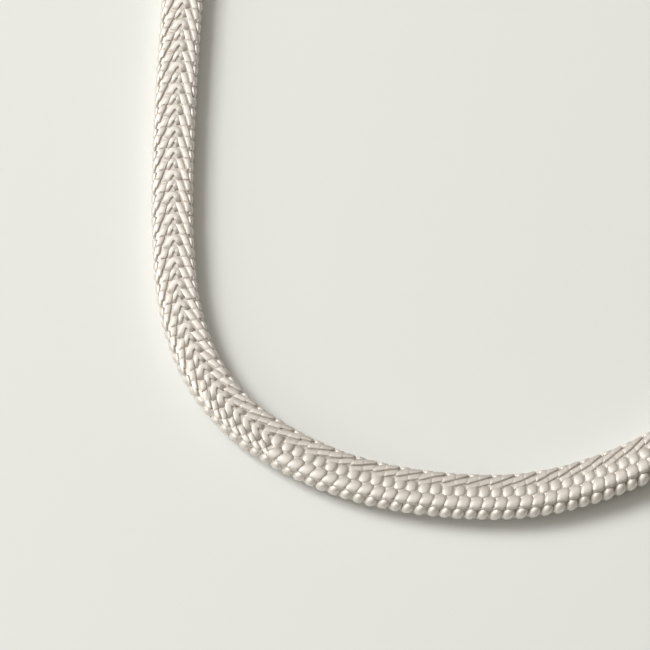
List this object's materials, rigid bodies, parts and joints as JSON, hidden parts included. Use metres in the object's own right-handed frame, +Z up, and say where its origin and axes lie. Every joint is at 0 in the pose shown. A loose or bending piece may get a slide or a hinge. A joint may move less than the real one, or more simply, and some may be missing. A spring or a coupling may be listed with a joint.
{
  "type": "woven chain necklace",
  "caption": "Closed loop of flat woven silver chain with sleeve end caps and a plain box clasp, lying flat as on a table, the outer edge of its front curve raised.",
  "frame": {"origin": "on the surface that the necklace lies on, under the middle of its bounding box", "axes": "+X across the loop, +Y from the front curve towards the clasp, +Z up from the surface"},
  "size_m": [0.0948, 0.1818, 0.0049],
  "materials": {
    "woven_silver": "satin woven silver, darker in its grooves",
    "plain_silver": "satin silver sheet with softly polished edges"
  },
  "bodies": {
    "root": {"woven_band": "woven_silver", "end_cap_left": "plain_silver", "end_cap_right": "plain_silver", "clasp": "plain_silver"}
  },
  "joints": []
}
